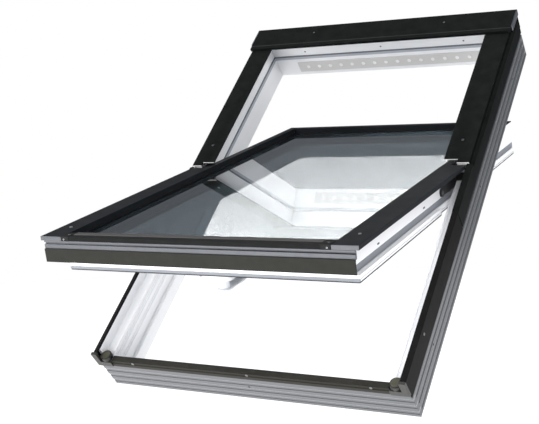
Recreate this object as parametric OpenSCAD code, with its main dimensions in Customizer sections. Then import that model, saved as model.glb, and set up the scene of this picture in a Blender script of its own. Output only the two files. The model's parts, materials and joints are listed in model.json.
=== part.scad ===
// Centre-pivot roof window: frame, glazed sash, claddings, hinges, handle and latch.
// Each piece is drawn with the window flat: X across, Y up the slope, Z out of the roof,
// from the room-side face of the frame. in_roof() and in_sash() then set it in place.

/* [Overall] */
// Width of the frame
frame_w = 780; // [550:10:1340]
// Length of the frame up the slope
frame_l = 1140; // [980:10:1600]
// Pitch of the roof
roof_pitch = 45; // [15:1:75]
// How far the sash stands open
open_angle = 32; // [0:1:60]

/* [Frame] */
// Height of the plastic profile
frame_h = 98; // [90:1:110]
// Thickness of a side at the room
jamb_t = 46; // [38:1:60]
// Thickness of the sill at the room
sill_t = 36; // [34:1:50]
// Thickness of the head
head_t = 28; // [24:1:40]
// Height of the step that the lower sash closes on
step_h = 32; // [24:1:34]
// How much thinner the sides are above that step
step_in = 8; // [6:1:12]
// Thickness of the sill's outer wall
sill_wall = 14; // [11:1:16]
// Width of the upstand along the outer edge
upstand_w = 10; // [8:1:14]
// Height of the upstand beside the lower sash
upstand_h = 24; // [22:1:26]
// Height of the upstand beside the upper covers
upstand_low_h = 18; // [14:1:20]
// Height where the smooth band under the outer cladding starts
rib_h = 70; // [60:1:76]
// How far the sealing channel in the head goes in
vent_depth = 8; // [4:1:12]

/* [Claddings] */
// Thickness of the folded sheet
sheet = 2; // [1.5:0.1:3]
// Width of an upper cover
cover_w = 64; // [50:1:76]
// Depth of the hood down the slope
hood_l = 86; // [70:1:110]
// Height of the hood's top
hood_z = 138; // [136:1:150]
// How far the hood passes the head
hood_over = 20; // [12:1:30]
// Where the two lengths of side cladding meet, below the pivot
clad_joint = 155; // [120:5:220]
// Height of the sill cladding's front face
sill_clad_h = 19; // [14:1:26]

/* [Sash] */
// From the top of the frame to the pivot
pivot_from_top = 531; // [440:1:600]
// Height of the pivot
pivot_h = 125; // [122:1:128]
// Gap between the sash and the frame's sides
sash_gap = 3; // [3:0.5:5]
// Width of a stile
stile_w = 52; // [46:1:64]
// Thickness of the wall outside the glass
stile_wall = 16; // [12:1:20]
// From the pivot down to the sash's room face
sash_under = 90; // [86:1:90]
// Width of the top and bottom rails
rail_w = 52; // [46:1:64]
// How far the sash overhangs the sill
overhang = 24; // [18:1:34]
// Width of a sash cover
sash_cover_w = 56; // [48:1:58]
// Height of the skirt that hangs in front of the sill
skirt_h = 29; // [22:1:36]
// Thickness of one pane
pane_t = 4; // [3:0.5:6]
// Gap between the panes
pane_gap = 16; // [10:1:16]

/* [Fittings] */
// Radius of the pivot pins
pin_r = 3; // [2.5:0.1:3.5]
// Running clearance of the pins
pin_clear = 0.05; // [0.02:0.01:0.09]
// Reach of the handle's grip from its spindle
grip_l = 90; // [76:1:120]
// How far the latch travels
latch_travel = 12; // [11:0.5:13]
// Radius of a fixing hole in the frame
fixing_r = 2.5; // [2:0.1:3.5]
// Depth of a fixing hole
fixing_depth = 20; // [12:1:24]
// Radius of a hole in the vent strip
vent_r = 5.5; // [4:0.5:6]
// Spacing of those holes
vent_pitch = 35; // [24:1:40]

/* [Hidden] */
$fn = 48;

// Places across, from the middle outwards
half_w = frame_w / 2;
jamb_in = half_w - jamb_t;
jamb_step_in = jamb_in + step_in;
smooth_x = half_w - sheet;
upstand_in = smooth_x - upstand_w;
stile_out = jamb_in - sash_gap;
stile_in = stile_out - stile_w;
glass_x = stile_out - stile_wall;
sash_cover_out = upstand_in - sheet;
sash_cover_in = sash_cover_out - sash_cover_w;
upper_cover_out = upstand_in + 4;
upper_cover_in = upper_cover_out - cover_w;

// Places up the slope, from the frame's middle
y_top = frame_l / 2;
y_bottom = -frame_l / 2;
pivot_y = y_top - pivot_from_top;
low_end = pivot_y - 3;
head_in = y_top - head_t;
wall_w = 8;

// Heights from the room face
cover_under = pivot_h + 1;
cover_top = cover_under + 3;
seal_z = [50, 72];
lower_top = frame_h + upstand_h;
upper_top = frame_h + upstand_low_h;
sill_top = frame_h + 1;
sill_clad_top = sill_top + sheet;

// The sash, from the pivot: v up the slope, w out of the roof
sash_top_v = head_in - pivot_y - sash_gap;
sash_front_v = y_bottom - pivot_y - overhang;
sash_low_v = y_bottom - pivot_y + sill_wall + 10;
sash_face_w = -1;
sash_sheet_w = sash_face_w - sheet;
gasket_t = 2;
glass_top_w = -16;
spacer_top_w = glass_top_w - pane_t;
inner_top_w = spacer_top_w - pane_gap;
glass_low_w = inner_top_w - pane_t;
ledge_w = glass_low_w - gasket_t;
flange_out = stile_out + step_in;
flange_h = 14;
flange_top_v = -120;
cover_end_v = -12;
meet_v = -4;
trim_low_w = -10.5;
lip_h = 3.5;
band_top_w = -18.5;
skirt_top_w = -29;
band_back = 2 * sheet;
band_half = sash_cover_out - 8;
screw_r = 3.4;
screw_h = 1.4;
running = 0.3;
hinge_plate_t = 2;
hinge_arm_t = 4;
hinge_boss_r = 5;
latch_w = -65;
latch_size = [16, 8];
latch_tip_v = sash_low_v + 0.5;
handle_v = sash_low_v + 41;
handle_x = 18;
handle_base_h = 20;

white = [0.94, 0.95, 0.96];
frame_grey = [0.53, 0.54, 0.56];
dark = [0.12, 0.13, 0.13];
dark_brown = [0.25, 0.25, 0.23];
pale_grey = [0.68, 0.69, 0.7];
black = [0.05, 0.05, 0.05];
steel = [0.72, 0.72, 0.72];

// ---- placing ----

module in_roof() rotate([roof_pitch, 0, 0]) children();

// From closed sash places to where the open sash stands
module in_sash()
    in_roof() translate([0, pivot_y, pivot_h]) rotate([-open_angle, 0, 0]) children();

// side is 1 on the right and -1 on the left
module on_side(side) mirror([side < 0 ? 1 : 0, 0, 0]) children();

// A box between two corners
module span(low, high) translate(low) cube(high - low);

// A section drawn in X and Z, run along Y
module run(y0, y1) translate([0, y1, 0]) rotate([90, 0, 0]) linear_extrude(y1 - y0) children();

// A section drawn in Y and Z, run along X
module run_across(x0, x1)
    translate([x0, 0, 0]) rotate([90, 0, 90]) linear_extrude(x1 - x0) children();

// ---- frame ----

// Grooves that leave shallow ribs on the outer face
groove_z = [8, 30, 52];
groove_h = 10;
groove_d = 1;
module outer_grooves()
    for (z = groove_z) translate([0, z]) square([2 * groove_d, groove_h]);

module jamb_section(inner) {
    difference() {
        polygon([[jamb_in, 0], [half_w, 0], [half_w, rib_h], [smooth_x, rib_h],
            [smooth_x, frame_h], [inner, frame_h], [inner, step_h], [jamb_in, step_h]]);
        translate([half_w - groove_d, 0]) outer_grooves();
    }
}

module frame_jamb(side) color(white) in_roof() on_side(side)
    difference() {
        union() {
            run(y_bottom + sill_wall, pivot_y) jamb_section(jamb_step_in);
            run(pivot_y, y_top - sill_wall) jamb_section(jamb_in);
            // upstands beside the sash cover and beside the upper cover
            span([upstand_in, y_bottom + sill_wall, frame_h], [smooth_x, low_end, lower_top]);
            span([upstand_in, low_end, frame_h], [smooth_x, y_top - sill_wall, upper_top]);
            // wall that carries the upper cover's inner side
            span([jamb_in, pivot_y + 45, frame_h],
                [jamb_in + wall_w, y_top - sill_wall, cover_under]);
            // low step on top of the lower half
            span([jamb_step_in, y_bottom + sill_wall + plug_r, frame_h],
                [jamb_step_in + ridge[0], pivot_y - 60, frame_h + ridge[1]]);
        }
        // screw holes for the roof brackets
        for (y = fixing_ys) translate([half_w - fixing_depth, y, fixing_z])
            rotate([0, 90, 0]) cylinder(r = fixing_r, h = fixing_depth + 1);
    }
fixing_ys = [y_bottom + 150, pivot_y, y_top - 150];
fixing_z = 46;
ridge = [4, 3];

module frame_left_jamb() frame_jamb(-1);
module frame_right_jamb() frame_jamb(1);

module frame_head() color(white) in_roof()
    difference() {
        union() {
            span([-half_w, y_top - sill_wall, 0], [half_w, y_top, rib_h]);
            span([-smooth_x, y_top - sill_wall, rib_h], [smooth_x, y_top - sheet, frame_h]);
            span([-jamb_in, head_in, 0], [jamb_in, y_top - sill_wall, frame_h]);
            // upstand under the hood
            span([-jamb_in, y_top - sill_wall, frame_h], [jamb_in, y_top - sheet, hood_z - sheet]);
            span([-jamb_in, head_in, frame_h], [jamb_in, head_in + wall_w, cover_under]);
        }
        // air channel behind the vent strip
        span([-vent_half + 6, head_in - 1, vent_z[0] + 4],
            [vent_half - 6, head_in + vent_depth, vent_z[1] - 4]);
    }
vent_half = jamb_in - 68;
vent_z = [12, 47];

module frame_sill() color(white) in_roof()
    difference() {
        union() {
            run_across(-half_w, half_w) difference() {
                translate([y_bottom, 0]) square([sill_wall, rib_h]);
                translate([y_bottom - groove_d, 0]) outer_grooves();
            }
            span([-smooth_x, y_bottom, rib_h], [smooth_x, y_bottom + sill_wall, sill_top]);
            span([-jamb_in, y_bottom + sill_wall, 0], [jamb_in, y_bottom + sill_t, step_h]);
        }
        translate([0, y_bottom - 1, fixing_z]) rotate([-90, 0, 0])
            cylinder(r = fixing_r, h = sill_wall - 3);
        // pocket for the latch
        latch_pocket(latch_travel - 8);
    }

// Room for the latch, going into the sill by a depth
module latch_pocket(depth)
    span([-latch_size[0] / 2 - 1, y_bottom + sill_wall - depth, pivot_h + latch_w - 5],
        [latch_size[0] / 2 + 1, y_bottom + sill_wall + 3, pivot_h + latch_w + 5]);

module upper_seal() color(frame_grey) in_roof() {
    for (side = [-1, 1]) on_side(side)
        span([jamb_in - 2, pivot_y + 60, seal_z[0]], [jamb_in, head_in, seal_z[1]]);
    span([-jamb_in + 2, head_in - 2, seal_z[0]], [jamb_in - 2, head_in, seal_z[1]]);
}

vent_count = floor((2 * vent_half - 30) / vent_pitch) + 1;
module vent_strip() color(pale_grey) in_roof()
    difference() {
        span([-vent_half, head_in - sheet, vent_z[0]], [vent_half, head_in, vent_z[1]]);
        for (i = [0 : vent_count - 1])
            translate([(i - (vent_count - 1) / 2) * vent_pitch, head_in - sheet - 1,
                (vent_z[0] + vent_z[1]) / 2])
                rotate([-90, 0, 0]) cylinder(r = vent_r, h = sheet + 2);
    }

// ---- claddings on the frame ----

hood_front = y_top + hood_over - hood_l;
hood_half = half_w - 5;
clad_leg_z = rib_h + 8;
module hood() color(dark) in_roof() {
    half = hood_half;
    span([-half, hood_front, hood_z - sheet], [half, y_top + hood_over, hood_z]);
    // front lip, back leg and ends
    span([-half, hood_front, cover_top], [half, hood_front + sheet, hood_z - sheet]);
    span([-half, y_top + hood_over - sheet, clad_leg_z],
        [half, y_top + hood_over, hood_z - sheet]);
    for (side = [-1, 1]) on_side(side)
        span([half - sheet, hood_front, cover_top],
            [half, y_top + hood_over - sheet, hood_z - sheet]);
}

module hood_end_cap(side) color(pale_grey) in_roof() on_side(side)
    span([hood_half, hood_front + 18, upper_top + 5], [hood_half + 3, y_top + hood_over, hood_z]);
module hood_end_cap_left() hood_end_cap(-1);
module hood_end_cap_right() hood_end_cap(1);

cover_inset = 9;
cover_leg = 2.5;
module upper_cover(side) color(dark) in_roof() on_side(side) {
    notch = pivot_y + hinge_boss_r + 4.5;
    span([upper_cover_in, notch, cover_under], [upper_cover_out, hood_front + 30, cover_top]);
    span([jamb_in + cover_inset, pivot_y, cover_under], [upper_cover_out, notch, cover_top]);
    // outer leg that stands on the upstand
    span([upper_cover_out - cover_leg, pivot_y, upper_top],
        [upper_cover_out, hood_front + 30, cover_under]);
}
module upper_cover_left() upper_cover(-1);
module upper_cover_right() upper_cover(1);

module cover_end_trim(side) color(pale_grey) in_roof() on_side(side)
    span([jamb_in + cover_inset, pivot_y - 2, upper_top + 4], [upper_cover_out, pivot_y, cover_top]);
module cover_end_trim_left() cover_end_trim(-1);
module cover_end_trim_right() cover_end_trim(1);

// A cap over an upstand whose top is at z = top, with a leg down the outside
module side_section(top, inner, leg_z, out)
    polygon([[smooth_x, leg_z], [out, leg_z], [out, top + 1.5], [inner, top + 6],
        [inner, top], [smooth_x, top]]);

clad_out = half_w + 0.5;
module side_cladding_lower(side) color(dark_brown) in_roof() on_side(side)
    run(y_bottom, pivot_y - clad_joint)
        side_section(lower_top, upstand_in, rib_h + 1, clad_out);
module side_cladding_lower_left() side_cladding_lower(-1);
module side_cladding_lower_right() side_cladding_lower(1);

module side_cladding_upper(side) color(dark) in_roof() on_side(side) {
    run(pivot_y - clad_joint, low_end)
        side_section(lower_top, upstand_in - 0.8, clad_leg_z, clad_out + 1);
    run(low_end, y_top - sheet) polygon([[smooth_x, clad_leg_z], [clad_out + 1, clad_leg_z],
        [clad_out + 1, upper_top + 1], [upper_cover_out + 0.5, upper_top + 4],
        [upper_cover_out + 0.5, upper_top], [smooth_x, upper_top]]);
}
module side_cladding_upper_left() side_cladding_upper(-1);
module side_cladding_upper_right() side_cladding_upper(1);

// Two tiers, the lower one standing further out
sill_clad_x = jamb_step_in - 3;
sill_tier = [2.5, 4];
tier_h = 8;
module sill_cladding() color(dark_brown) in_roof()
    run_across(-sill_clad_x, sill_clad_x)
        polygon([[y_bottom - sill_tier[1], sill_clad_top - sill_clad_h],
            [y_bottom, sill_clad_top - sill_clad_h],
            [y_bottom, sill_top], [y_bottom + sill_wall - 1, sill_top],
            [y_bottom + sill_wall - 1, sill_clad_top], [y_bottom - sill_tier[0], sill_clad_top],
            [y_bottom - sill_tier[0], sill_clad_top - tier_h],
            [y_bottom - sill_tier[1], sill_clad_top - tier_h]]);

// A low part in front of the sill, where its cladding ends, and a high part over the upstand
end_block_t = 7;
end_block_low = rib_h + 14;
module sill_end_block(side) color(black) in_roof() on_side(side) {
    span([sill_clad_x, y_bottom - end_block_t, end_block_low],
        [upstand_in - 1, y_bottom, sill_top]);
    span([upstand_in - 1, y_bottom - end_block_t, end_block_low],
        [clad_out + 1, y_bottom, lower_top + 6]);
}
module sill_end_block_left() sill_end_block(-1);
module sill_end_block_right() sill_end_block(1);

// Fills the corner between the sill cladding's end and the upstand
plug_r = (upstand_in - sill_clad_x) / 2 - 1;
plug_h = 11;
module corner_plug(side) color(black) in_roof() on_side(side)
    translate([(upstand_in + sill_clad_x) / 2, y_bottom + sill_wall / 2, sill_top])
        cylinder(r = plug_r, h = plug_h);
module corner_plug_left() corner_plug(-1);
module corner_plug_right() corner_plug(1);

// ---- hinges ----

module hinge_frame_plate(side) color(black) in_roof() on_side(side) {
    x0 = jamb_in + 1;
    x1 = x0 + hinge_arm_t;
    span([x0, pivot_y - 30, frame_h], [x1, pivot_y + 40, pivot_h - 6]);
    translate([0, pivot_y, 0]) span([x0, -hinge_boss_r, pivot_h - 8], [x1, hinge_boss_r, pivot_h]);
    translate([x0, pivot_y, pivot_h]) rotate([0, 90, 0])
        cylinder(r = hinge_boss_r, h = x1 - x0);
    // foot on the jamb's top
    span([x1, pivot_y - 30, frame_h], [upstand_in - 2, pivot_y - 6, frame_h + 3]);
    // pin, fixed in the plate
    translate([stile_out, pivot_y, pivot_h]) rotate([0, 90, 0])
        cylinder(r = pin_r, h = x0 + 1 - stile_out);
}
module hinge_frame_plate_left() hinge_frame_plate(-1);
module hinge_frame_plate_right() hinge_frame_plate(1);

// Hole for the pivot pin in the sash plate
module pin_hole() translate([stile_out - 1, 0, 0]) rotate([0, 90, 0])
    cylinder(r = pin_r + pin_clear, h = hinge_plate_t + 2);

hinge_head = [-93, -46];
hinge_head_r = 10;
module hinge_sash_plate(side) color(black) in_sash() on_side(side)
    difference() {
        union() {
            span([stile_out, hinge_head[0], hinge_head[1] - hinge_head_r],
                [stile_out + hinge_plate_t, 20, -4]);
            translate([stile_out, 0, 0]) rotate([0, 90, 0])
                cylinder(r = hinge_boss_r, h = hinge_plate_t);
            span([stile_out, -hinge_boss_r, -6],
                [stile_out + hinge_plate_t, hinge_boss_r, 0]);
            translate([stile_out, hinge_head[0], hinge_head[1]]) rotate([0, 90, 0])
                cylinder(r = hinge_head_r, h = hinge_plate_t + 2.5);
        }
        pin_hole();
    }
module hinge_sash_plate_left() hinge_sash_plate(-1);
module hinge_sash_plate_right() hinge_sash_plate(1);

keep_half = 25;
module lock_keep() color(steel) in_roof()
    difference() {
        span([-keep_half, y_bottom + sill_wall, pivot_h + latch_w - 15],
            [keep_half, y_bottom + sill_wall + 1.8, pivot_h + latch_w + 15]);
        latch_pocket(1);
    }

module dome_screw(r = screw_r, h = screw_h) {
    cylinder(r = r, h = h * 0.5);
    translate([0, 0, h * 0.5]) cylinder(r1 = r, r2 = r * 0.55, h = h * 0.5);
}

module frame_screws() color(steel) in_roof() {
    for (x = sill_screw_x) translate([x, y_bottom - sill_tier[0], sill_clad_top - tier_h / 2])
        rotate([90, 0, 0]) dome_screw();
    for (side = [-1, 1]) on_side(side) {
        translate([(upper_cover_in + upper_cover_out) / 2, pivot_y + 75, cover_top]) dome_screw();
        translate([clad_out, y_bottom + 132, lower_top - 14]) rotate([0, 90, 0]) dome_screw();
        translate([half_w / 2, y_top - 10, hood_z]) dome_screw();
    }
    for (x = head_screw_x) translate([x, head_in, 85]) rotate([90, 0, 0]) dome_screw(2.6, 0.8);
}
sill_screw_x = [-0.74, 0.04, 0.79] * half_w;
head_screw_x = [-0.69, 0, 0.7] * jamb_in;

// ---- sash, in closed places from the pivot ----

stile_groove = [-75, -58];
groove_in = 6;
module stile(side) color(white) in_sash() on_side(side)
    union() {
        run(sash_low_v, sash_top_v) polygon([[stile_in, -sash_under], [stile_out, -sash_under],
            [stile_out, stile_groove[0]], [stile_out - groove_in, stile_groove[0]],
            [stile_out - groove_in, stile_groove[1]], [stile_out, stile_groove[1]],
            [stile_out, sash_sheet_w], [glass_x, sash_sheet_w], [glass_x, ledge_w],
            [stile_in, ledge_w]]);
        // flange that closes on the frame's step
        span([stile_out, sash_low_v, -sash_under],
            [flange_out, flange_top_v, flange_h - sash_under]);
    }
module sash_left_stile() stile(-1);
module sash_right_stile() stile(1);

module sash_bottom_rail() color(white) in_sash()
    difference() {
        union() {
            span([-stile_in, sash_low_v, -sash_under],
                [stile_in, sash_low_v + rail_w, ledge_w]);
            span([-glass_x, sash_low_v, ledge_w],
                [glass_x, sash_low_v + stile_wall, spacer_top_w - 1]);
        }
        // slot for the latch
        span([-latch_size[0] / 2 - running, sash_low_v - 1, latch_w - latch_size[1] / 2 - running],
            [latch_size[0] / 2 + running, sash_low_v + 45, latch_w + latch_size[1] / 2 + running]);
        // hole for the handle's spindle
        translate([handle_x, handle_v, -sash_under - 1])
            cylinder(r = spindle_r + pin_clear, h = sash_under + latch_w - 4);
    }

module sash_top_rail() color(white) in_sash() {
    span([-stile_in, sash_top_v - rail_w, -sash_under], [stile_in, sash_top_v, ledge_w]);
    span([-glass_x, sash_top_v - stile_wall, ledge_w], [glass_x, sash_top_v, sash_sheet_w]);
}

module sash_seal() color(black) in_sash() {
    for (side = [-1, 1]) on_side(side)
        span([stile_out, sash_low_v, -sash_under - 2.5],
            [flange_out - 1, flange_top_v, -sash_under]);
    span([-stile_out, sash_low_v, -sash_under - 2.5],
        [stile_out, sash_low_v + 9, -sash_under]);
}

glass_v = [sash_low_v + stile_wall + 2, sash_top_v - stile_wall - 2];
module glass_sheet(low_w, t, low_v) color([0.75, 0.85, 0.87, 0.35]) in_sash()
    span([-glass_x + 2, low_v, low_w], [glass_x - 2, glass_v[1], low_w + t]);
// the outer pane runs out over the bottom rail, so that water clears it
module outer_pane() glass_sheet(spacer_top_w, pane_t, sash_low_v - 6);
module inner_pane() glass_sheet(glass_low_w, pane_t, glass_v[0]);

module ring(low, high, w)
    difference() {
        span(low, high);
        span([low[0] + w, low[1] + w, low[2] - 1], [high[0] - w, high[1] - w, high[2] + 1]);
    }

module pane_spacer() color(steel) in_sash()
    ring([-glass_x + 8, glass_v[0] + 6, inner_top_w], [glass_x - 8, glass_v[1] - 6, spacer_top_w], 9);

// covers the ledge as far as the opening's edge
module bedding_gasket() color(black) in_sash()
    difference() {
        span([-glass_x + 2, glass_v[0], ledge_w], [glass_x - 2, glass_v[1], glass_low_w]);
        span([-stile_in - 1, sash_low_v + rail_w - 1, ledge_w - 1],
            [stile_in + 1, sash_top_v - rail_w + 1, glass_low_w + 1]);
    }

module glazing_gasket() color(black) in_sash() {
    for (side = [-1, 1]) on_side(side)
        span([sash_cover_in, sash_low_v - 6, glass_top_w],
            [sash_cover_in + 3, glass_v[1], glass_top_w + gasket_t]);
    span([-sash_cover_in, glass_v[1] - 3, glass_top_w],
        [sash_cover_in, glass_v[1], glass_top_w + gasket_t]);
    span([-glass_x + 2, sash_low_v, spacer_top_w - 1],
        [glass_x - 2, sash_low_v + stile_wall, spacer_top_w]);
}

module sash_cover(side) color(dark) in_sash() on_side(side) {
    span([sash_cover_in, sash_front_v, sash_sheet_w], [sash_cover_out, cover_end_v, sash_face_w]);
    span([sash_cover_in, cover_end_v, sash_sheet_w], [stile_out - 0.5, meet_v, sash_face_w]);
    span([sash_cover_out - sheet, sash_front_v, -11], [sash_cover_out, cover_end_v, sash_sheet_w]);
    // leg down to the glass
    span([sash_cover_in, sash_front_v + band_back, glass_top_w + gasket_t],
        [sash_cover_in + sheet, meet_v, sash_sheet_w]);
}
module sash_cover_left() sash_cover(-1);
module sash_cover_right() sash_cover(1);

module sash_cover_cap(side) color(pale_grey) in_sash() on_side(side)
    span([sash_cover_in, sash_front_v - sheet, trim_low_w],
        [sash_cover_out, sash_front_v, sash_face_w]);
module sash_cover_cap_left() sash_cover_cap(-1);
module sash_cover_cap_right() sash_cover_cap(1);

module sash_upper_cladding(side) color(dark) in_sash() on_side(side) {
    span([sash_cover_in, meet_v, sash_sheet_w], [stile_out - 0.5, sash_top_v, sash_face_w]);
    span([sash_cover_in, meet_v, glass_top_w + gasket_t],
        [sash_cover_in + sheet, glass_v[1] - 3, sash_sheet_w]);
}
module sash_upper_cladding_left() sash_upper_cladding(-1);
module sash_upper_cladding_right() sash_upper_cladding(1);

module sash_top_cladding() color(dark) in_sash() {
    inner_v = glass_v[1] - 3;
    span([-sash_cover_in, inner_v, sash_sheet_w], [sash_cover_in, sash_top_v, sash_face_w]);
    span([-sash_cover_in, inner_v, glass_top_w + gasket_t],
        [sash_cover_in, inner_v + sheet, sash_sheet_w]);
}

// The front of the sash, from the top: trim, band, skirt
trim_t = 4;
trim_end_v = sash_low_v - 18;
module sash_bottom_trim() color(dark_brown) in_sash() {
    span([-sash_cover_in, sash_front_v - sheet, sash_face_w - trim_t],
        [sash_cover_in, trim_end_v, sash_face_w]);
    // front leg
    span([-sash_cover_in, sash_front_v - sheet, trim_low_w],
        [sash_cover_in, sash_front_v + sheet, sash_face_w - trim_t]);
}

module sash_bottom_band() color(pale_grey) in_sash() {
    // band, the groove over it, and the lip under the trim
    run_across(-band_half, band_half)
        translate([sash_front_v, 0]) polygon([[-sheet, skirt_top_w], [band_back, skirt_top_w],
            [band_back, trim_low_w], [-sheet, trim_low_w], [-sheet, trim_low_w - lip_h],
            [sheet, trim_low_w - lip_h], [sheet, band_top_w], [-sheet, band_top_w]]);
    // flange back to the outer pane's edge, and the block that carries the trim
    span([-glass_x + 2, sash_front_v + sheet, spacer_top_w],
        [glass_x - 2, sash_low_v - 6, spacer_top_w + sheet]);
    span([-sash_cover_in, sash_front_v + sheet, trim_low_w - lip_h],
        [sash_cover_in, trim_end_v, sash_face_w - trim_t]);
}

skirt_t = 3;
module sash_skirt() color(dark_brown) in_sash()
    span([-band_half, sash_front_v - sheet - skirt_t, skirt_top_w - skirt_h],
        [band_half, sash_front_v - sheet, skirt_top_w + 1]);

module sash_screws() color(steel) in_sash()
    for (side = [-1, 1]) on_side(side) {
        translate([(sash_cover_in + sash_cover_out) / 2, sash_low_v + 22, sash_face_w]) dome_screw();
        translate([sash_cover_in - 8, sash_front_v - sheet, trim_low_w + 4])
            rotate([90, 0, 0]) dome_screw(2.4, 1);
        translate([sash_cover_in - 12, sash_front_v + 14, sash_face_w]) dome_screw(2.6, 1);
    }

// ---- handle and latch ----

// The spindle stands to one side of the base plate's middle
module handle_base() color(white) in_sash()
    difference() {
        hull() for (x = [handle_x - 48, handle_x + 18], v = [-10, 10])
            translate([x, handle_v + v, -sash_under - handle_base_h])
                cylinder(r = 9, h = handle_base_h, $fn = 32);
        translate([handle_x, handle_v, -sash_under - handle_base_h - 1])
            cylinder(r = spindle_r + pin_clear, h = handle_base_h + 2);
    }
spindle_r = 4;

// How far the grip's underside hangs below the base, and the half widths of its two ends
grip_drop = 30;
grip_r = [15, 12];
grip_flat = 0.42;
module handle_lever() color(white) in_sash()
    translate([handle_x, handle_v, -sash_under - handle_base_h]) {
        // spindle, neck, and the grip, which points up the slope while the window is open
        translate([0, 0, -2]) cylinder(r = spindle_r, h = handle_base_h + 12);
        translate([0, 0, grip_r[0] * grip_flat - grip_drop])
            cylinder(r = 12, h = grip_drop - grip_r[0] * grip_flat - running);
        hull() for (i = [0, 1])
            translate([0, i * (grip_l - grip_r[1]), grip_r[0] * grip_flat - grip_drop])
                scale([1, 1, grip_flat]) sphere(r = grip_r[i], $fn = 32);
    }

module latch_bolt() color(steel) in_sash()
    span([-latch_size[0] / 2, latch_tip_v, latch_w - latch_size[1] / 2],
        [latch_size[0] / 2, latch_tip_v + 30, latch_w + latch_size[1] / 2]);

frame_left_jamb();
frame_right_jamb();
frame_head();
frame_sill();
upper_seal();
vent_strip();
hood();
hood_end_cap_left();
hood_end_cap_right();
upper_cover_left();
upper_cover_right();
cover_end_trim_left();
cover_end_trim_right();
side_cladding_upper_left();
side_cladding_upper_right();
side_cladding_lower_left();
side_cladding_lower_right();
sill_cladding();
sill_end_block_left();
sill_end_block_right();
corner_plug_left();
corner_plug_right();
hinge_frame_plate_left();
hinge_frame_plate_right();
lock_keep();
frame_screws();
sash_left_stile();
sash_right_stile();
sash_bottom_rail();
sash_top_rail();
sash_seal();
outer_pane();
pane_spacer();
inner_pane();
bedding_gasket();
glazing_gasket();
sash_cover_left();
sash_cover_right();
sash_cover_cap_left();
sash_cover_cap_right();
sash_upper_cladding_left();
sash_upper_cladding_right();
sash_top_cladding();
sash_bottom_trim();
sash_bottom_band();
sash_skirt();
hinge_sash_plate_left();
hinge_sash_plate_right();
sash_screws();
handle_base();
handle_lever();
latch_bolt();
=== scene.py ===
# %% [markdown]
# # A roof window that turns about its middle
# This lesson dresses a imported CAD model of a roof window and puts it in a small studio. The CAD
# model holds the true sizes and the moving pieces. Here each piece gets the rounded folds, the
# grain and the small parts that a flat-sided solid lacks.
#
# The frame leans at the pitch of a roof and the sash stands open in it, so two sets of directions
# are used. In the roof's directions, x runs across the window, y runs up the slope and z points out
# of the roof. The sash has the same three, turned with it and counted from its pivot.

# %% Load the frame
import json
import math

import bmesh
import bpy
from mathutils import Matrix, Vector


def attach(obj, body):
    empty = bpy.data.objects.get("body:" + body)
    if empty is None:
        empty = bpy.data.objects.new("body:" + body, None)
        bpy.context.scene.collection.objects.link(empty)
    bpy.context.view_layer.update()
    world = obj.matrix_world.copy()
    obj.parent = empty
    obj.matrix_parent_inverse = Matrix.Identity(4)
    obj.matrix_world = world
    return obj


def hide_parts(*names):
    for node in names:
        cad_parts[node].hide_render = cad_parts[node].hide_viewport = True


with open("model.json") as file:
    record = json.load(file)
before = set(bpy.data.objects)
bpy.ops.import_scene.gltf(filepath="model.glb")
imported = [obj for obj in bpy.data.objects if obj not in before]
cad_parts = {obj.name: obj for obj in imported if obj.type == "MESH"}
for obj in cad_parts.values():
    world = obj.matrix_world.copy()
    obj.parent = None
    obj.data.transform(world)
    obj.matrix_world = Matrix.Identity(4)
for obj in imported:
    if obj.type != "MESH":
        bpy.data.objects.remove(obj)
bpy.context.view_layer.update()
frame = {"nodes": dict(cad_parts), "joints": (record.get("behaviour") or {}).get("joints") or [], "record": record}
record = frame["record"]
nodes = frame["nodes"]
body_of = {n: b for b, names in record["behaviour"]["bodies"].items() for n in names}

# %% [markdown]
# The record says which way the room is and where the sash turns. A matrix built from each lets a
# piece be modelled flat, with round numbers, and then laid in its place by one multiplication.

# %% The roof's and the sash's directions
joints = {j["name"]: j for j in frame["joints"]}
to_room = Vector(next(m["axis"] for m in record["mounts"] if m["name"] == "roof_seat"))
out_of_sash = Vector(joints["handle_turn"]["axis"])
pitch = math.atan2(to_room.y, -to_room.z)
sash_tilt = math.atan2(-out_of_sash.y, out_of_sash.z)
pivot = Vector(joints["sash_pivot"]["pos_m"])
ROOF = Matrix.Rotation(pitch, 4, "X")
SASH = Matrix.Translation(pivot) @ Matrix.Rotation(sash_tilt, 4, "X")
print("roof pitch", round(math.degrees(pitch), 2), "sash at", round(math.degrees(sash_tilt), 2))

# %% [markdown]
# Sizes are read from the CAD pieces, never typed twice. This helper turns a piece's points back
# into flat directions and gives the box round them.

# %% Measure a piece along the roof or the sash
def place_of(node):
    return ROOF if body_of[node] == "frame" else SASH


def flat_box(node, place=None):
    back = (place or place_of(node)).inverted()
    points = [back @ v.co for v in nodes[node].data.vertices]
    low = Vector(min(p[i] for p in points) for i in range(3))
    high = Vector(max(p[i] for p in points) for i in range(3))
    return low, high


sill_low, sill_high = flat_box("frame_sill")
frame_top = flat_box("frame_head")[1].y
half_width = sill_high.x
print("frame", round(2 * half_width, 4), "by", round(frame_top - sill_low.y, 4))

# %% [markdown]
# ## The camera
# It comes first, so that each later step can be judged in the final view. A camera's own axes are
# right, up and backwards. Writing those three directions as the columns of a matrix aims it
# without any angles.

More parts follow.
